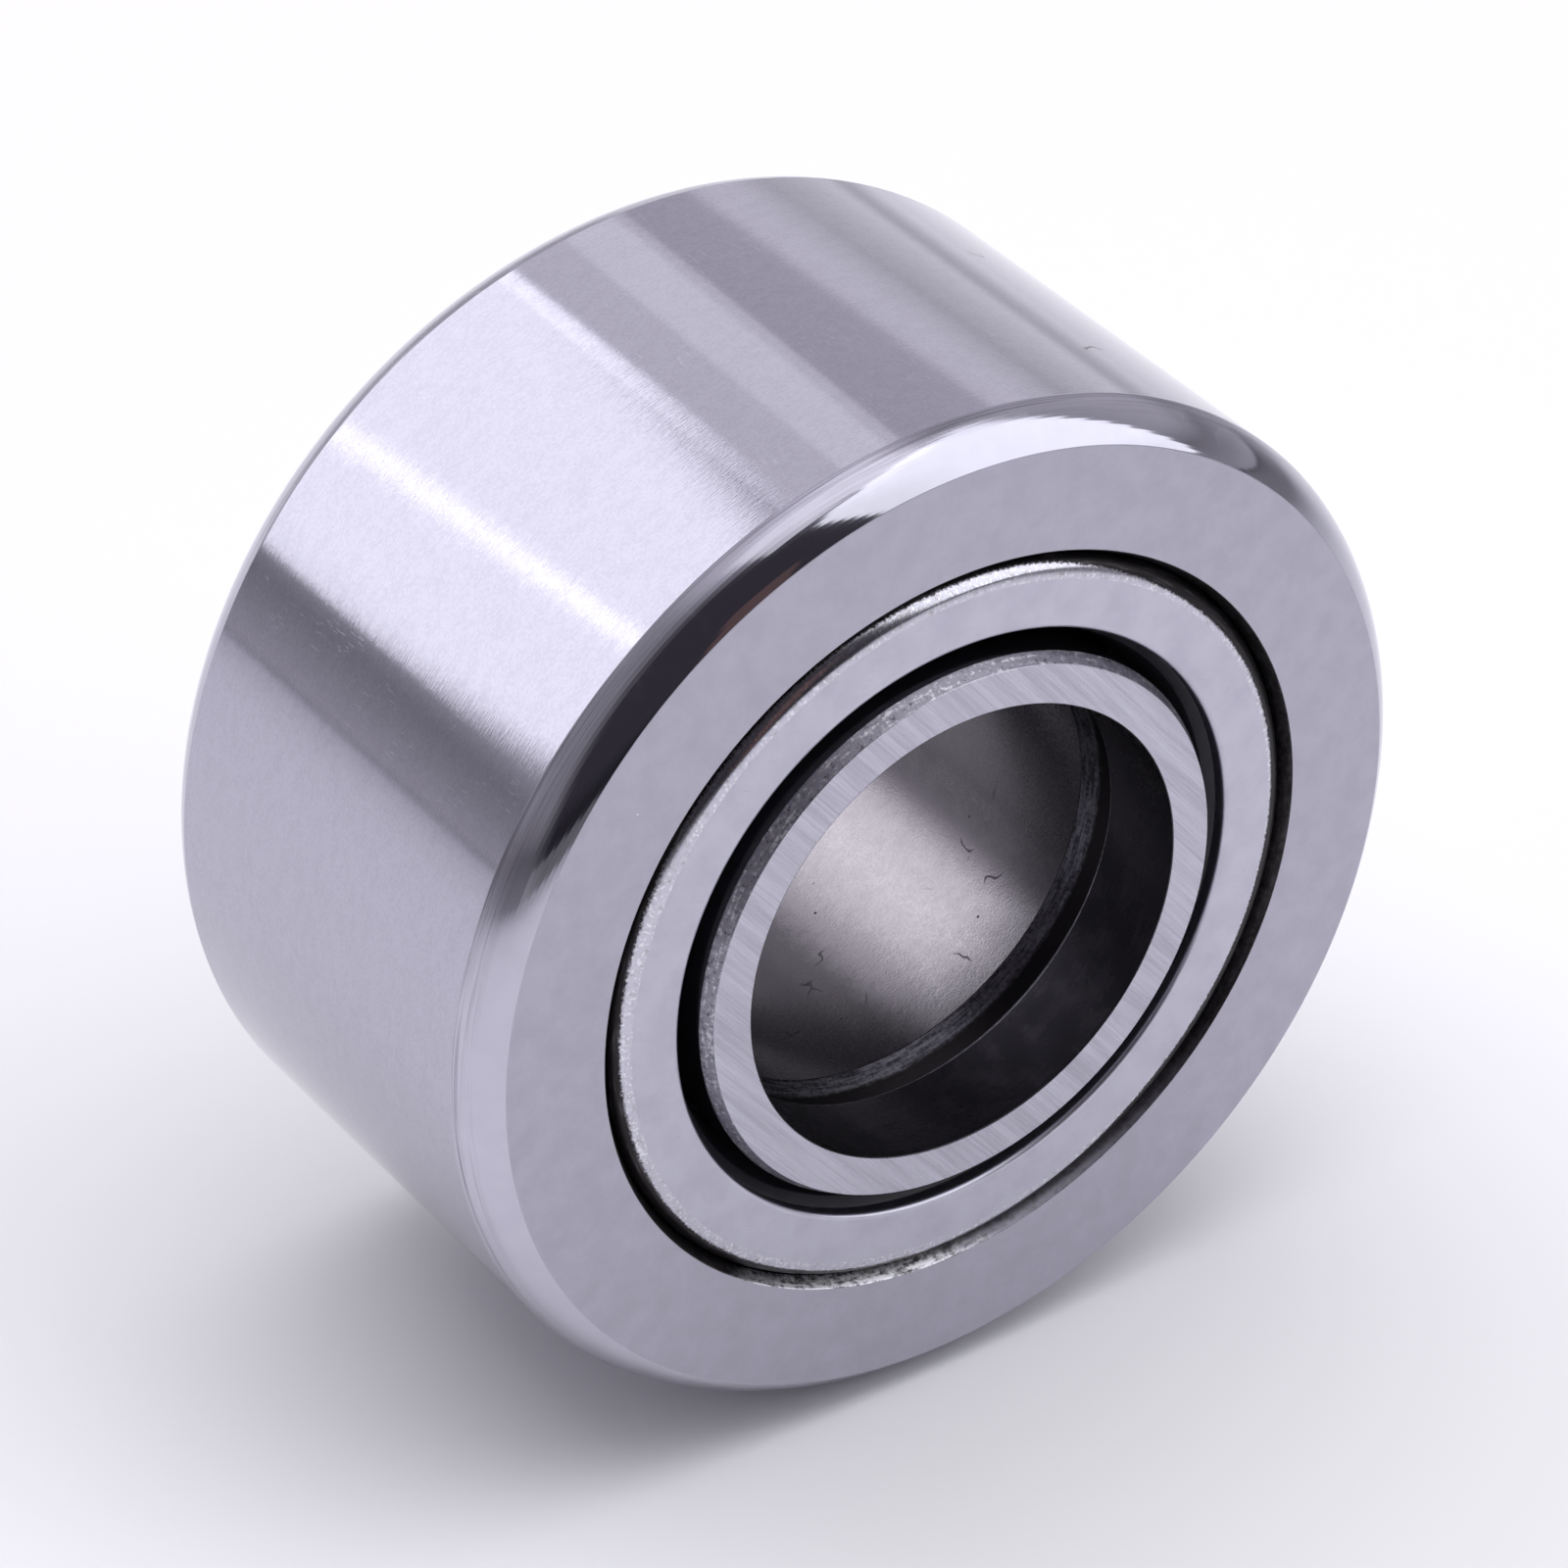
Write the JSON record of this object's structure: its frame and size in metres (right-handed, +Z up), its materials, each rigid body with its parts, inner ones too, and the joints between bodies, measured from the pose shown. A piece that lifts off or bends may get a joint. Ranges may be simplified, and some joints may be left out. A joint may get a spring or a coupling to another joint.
{
  "type": "cam follower",
  "caption": "Yoke-type cam follower: a thick steel roller ring with rounded corners on caged needle rollers, sealed at both ends, with collars round a through bore.",
  "frame": {"origin": "centre of the bearing: on the roller axis, midway between the two end faces", "axes": "+Y along the roller axis, from the pictured front end to the rear end; +Z up; +X to the right as seen from the front"},
  "size_m": [0.044, 0.024, 0.044],
  "materials": {
    "ring_steel": "finely ground bearing steel with a polished corner",
    "inner_steel": "honed bearing steel",
    "collar_steel": "straight surface grinding marks on the end face, dark machined bore",
    "case_steel": "satin pressed sheet steel with a bright rolled edge",
    "roller_steel": "polished hardened steel",
    "lip_rubber": "black oily nitrile rubber",
    "cage_nylon": "dark moulded polyamide"
  },
  "bodies": {
    "core": {"inner_ring": "inner_steel", "front_collar": "collar_steel", "rear_collar": "collar_steel"},
    "outer": {"outer_ring": "ring_steel", "front_seal_case": "case_steel", "rear_seal_case": "case_steel", "front_seal_lip": "lip_rubber", "rear_seal_lip": "lip_rubber"},
    "cage": {"roller_cage": "cage_nylon"},
    "roller_01_body": {"roller_01": "roller_steel"},
    "roller_02_body": {"roller_02": "roller_steel"},
    "roller_03_body": {"roller_03": "roller_steel"},
    "roller_04_body": {"roller_04": "roller_steel"},
    "roller_05_body": {"roller_05": "roller_steel"},
    "roller_06_body": {"roller_06": "roller_steel"},
    "roller_07_body": {"roller_07": "roller_steel"},
    "roller_08_body": {"roller_08": "roller_steel"},
    "roller_09_body": {"roller_09": "roller_steel"},
    "roller_10_body": {"roller_10": "roller_steel"},
    "roller_11_body": {"roller_11": "roller_steel"},
    "roller_12_body": {"roller_12": "roller_steel"},
    "roller_13_body": {"roller_13": "roller_steel"},
    "roller_14_body": {"roller_14": "roller_steel"},
    "roller_15_body": {"roller_15": "roller_steel"},
    "roller_16_body": {"roller_16": "roller_steel"}
  },
  "joints": [
    {"name": "outer_spin", "type": "hinge", "parent": "core", "child": "outer", "pos_m": [0, 0, 0], "axis": [0, 1, 0], "continuous": true},
    {"name": "cage_spin", "type": "hinge", "parent": "core", "child": "cage", "pos_m": [0, 0, 0], "axis": [0, 1, 0], "continuous": true},
    {"name": "roller_01_spin", "type": "hinge", "parent": "cage", "child": "roller_01_body", "pos_m": [0.014, 0, 0], "axis": [0, 1, 0], "continuous": true},
    {"name": "roller_02_spin", "type": "hinge", "parent": "cage", "child": "roller_02_body", "pos_m": [0.01293, 0, 0.00536], "axis": [0, 1, 0], "continuous": true},
    {"name": "roller_03_spin", "type": "hinge", "parent": "cage", "child": "roller_03_body", "pos_m": [0.0099, 0, 0.0099], "axis": [0, 1, 0], "continuous": true},
    {"name": "roller_04_spin", "type": "hinge", "parent": "cage", "child": "roller_04_body", "pos_m": [0.00536, 0, 0.01293], "axis": [0, 1, 0], "continuous": true},
    {"name": "roller_05_spin", "type": "hinge", "parent": "cage", "child": "roller_05_body", "pos_m": [0, 0, 0.014], "axis": [0, 1, 0], "continuous": true},
    {"name": "roller_06_spin", "type": "hinge", "parent": "cage", "child": "roller_06_body", "pos_m": [-0.00536, 0, 0.01293], "axis": [0, 1, 0], "continuous": true},
    {"name": "roller_07_spin", "type": "hinge", "parent": "cage", "child": "roller_07_body", "pos_m": [-0.0099, 0, 0.0099], "axis": [0, 1, 0], "continuous": true},
    {"name": "roller_08_spin", "type": "hinge", "parent": "cage", "child": "roller_08_body", "pos_m": [-0.01293, 0, 0.00536], "axis": [0, 1, 0], "continuous": true},
    {"name": "roller_09_spin", "type": "hinge", "parent": "cage", "child": "roller_09_body", "pos_m": [-0.014, 0, 0], "axis": [0, 1, 0], "continuous": true},
    {"name": "roller_10_spin", "type": "hinge", "parent": "cage", "child": "roller_10_body", "pos_m": [-0.01293, 0, -0.00536], "axis": [0, 1, 0], "continuous": true},
    {"name": "roller_11_spin", "type": "hinge", "parent": "cage", "child": "roller_11_body", "pos_m": [-0.0099, 0, -0.0099], "axis": [0, 1, 0], "continuous": true},
    {"name": "roller_12_spin", "type": "hinge", "parent": "cage", "child": "roller_12_body", "pos_m": [-0.00536, 0, -0.01293], "axis": [0, 1, 0], "continuous": true},
    {"name": "roller_13_spin", "type": "hinge", "parent": "cage", "child": "roller_13_body", "pos_m": [0, 0, -0.014], "axis": [0, 1, 0], "continuous": true},
    {"name": "roller_14_spin", "type": "hinge", "parent": "cage", "child": "roller_14_body", "pos_m": [0.00536, 0, -0.01293], "axis": [0, 1, 0], "continuous": true},
    {"name": "roller_15_spin", "type": "hinge", "parent": "cage", "child": "roller_15_body", "pos_m": [0.0099, 0, -0.0099], "axis": [0, 1, 0], "continuous": true},
    {"name": "roller_16_spin", "type": "hinge", "parent": "cage", "child": "roller_16_body", "pos_m": [0.01293, 0, -0.00536], "axis": [0, 1, 0], "continuous": true}
  ],
  "couplings": [
    {"joint": "cage_spin", "follows": "outer_spin", "ratio": 0.57143},
    {"joint": "roller_01_spin", "follows": "outer_spin", "ratio": 3.4286},
    {"joint": "roller_02_spin", "follows": "outer_spin", "ratio": 3.4286},
    {"joint": "roller_03_spin", "follows": "outer_spin", "ratio": 3.4286},
    {"joint": "roller_04_spin", "follows": "outer_spin", "ratio": 3.4286},
    {"joint": "roller_05_spin", "follows": "outer_spin", "ratio": 3.4286},
    {"joint": "roller_06_spin", "follows": "outer_spin", "ratio": 3.4286},
    {"joint": "roller_07_spin", "follows": "outer_spin", "ratio": 3.4286},
    {"joint": "roller_08_spin", "follows": "outer_spin", "ratio": 3.4286},
    {"joint": "roller_09_spin", "follows": "outer_spin", "ratio": 3.4286},
    {"joint": "roller_10_spin", "follows": "outer_spin", "ratio": 3.4286},
    {"joint": "roller_11_spin", "follows": "outer_spin", "ratio": 3.4286},
    {"joint": "roller_12_spin", "follows": "outer_spin", "ratio": 3.4286},
    {"joint": "roller_13_spin", "follows": "outer_spin", "ratio": 3.4286},
    {"joint": "roller_14_spin", "follows": "outer_spin", "ratio": 3.4286},
    {"joint": "roller_15_spin", "follows": "outer_spin", "ratio": 3.4286},
    {"joint": "roller_16_spin", "follows": "outer_spin", "ratio": 3.4286}
  ]
}
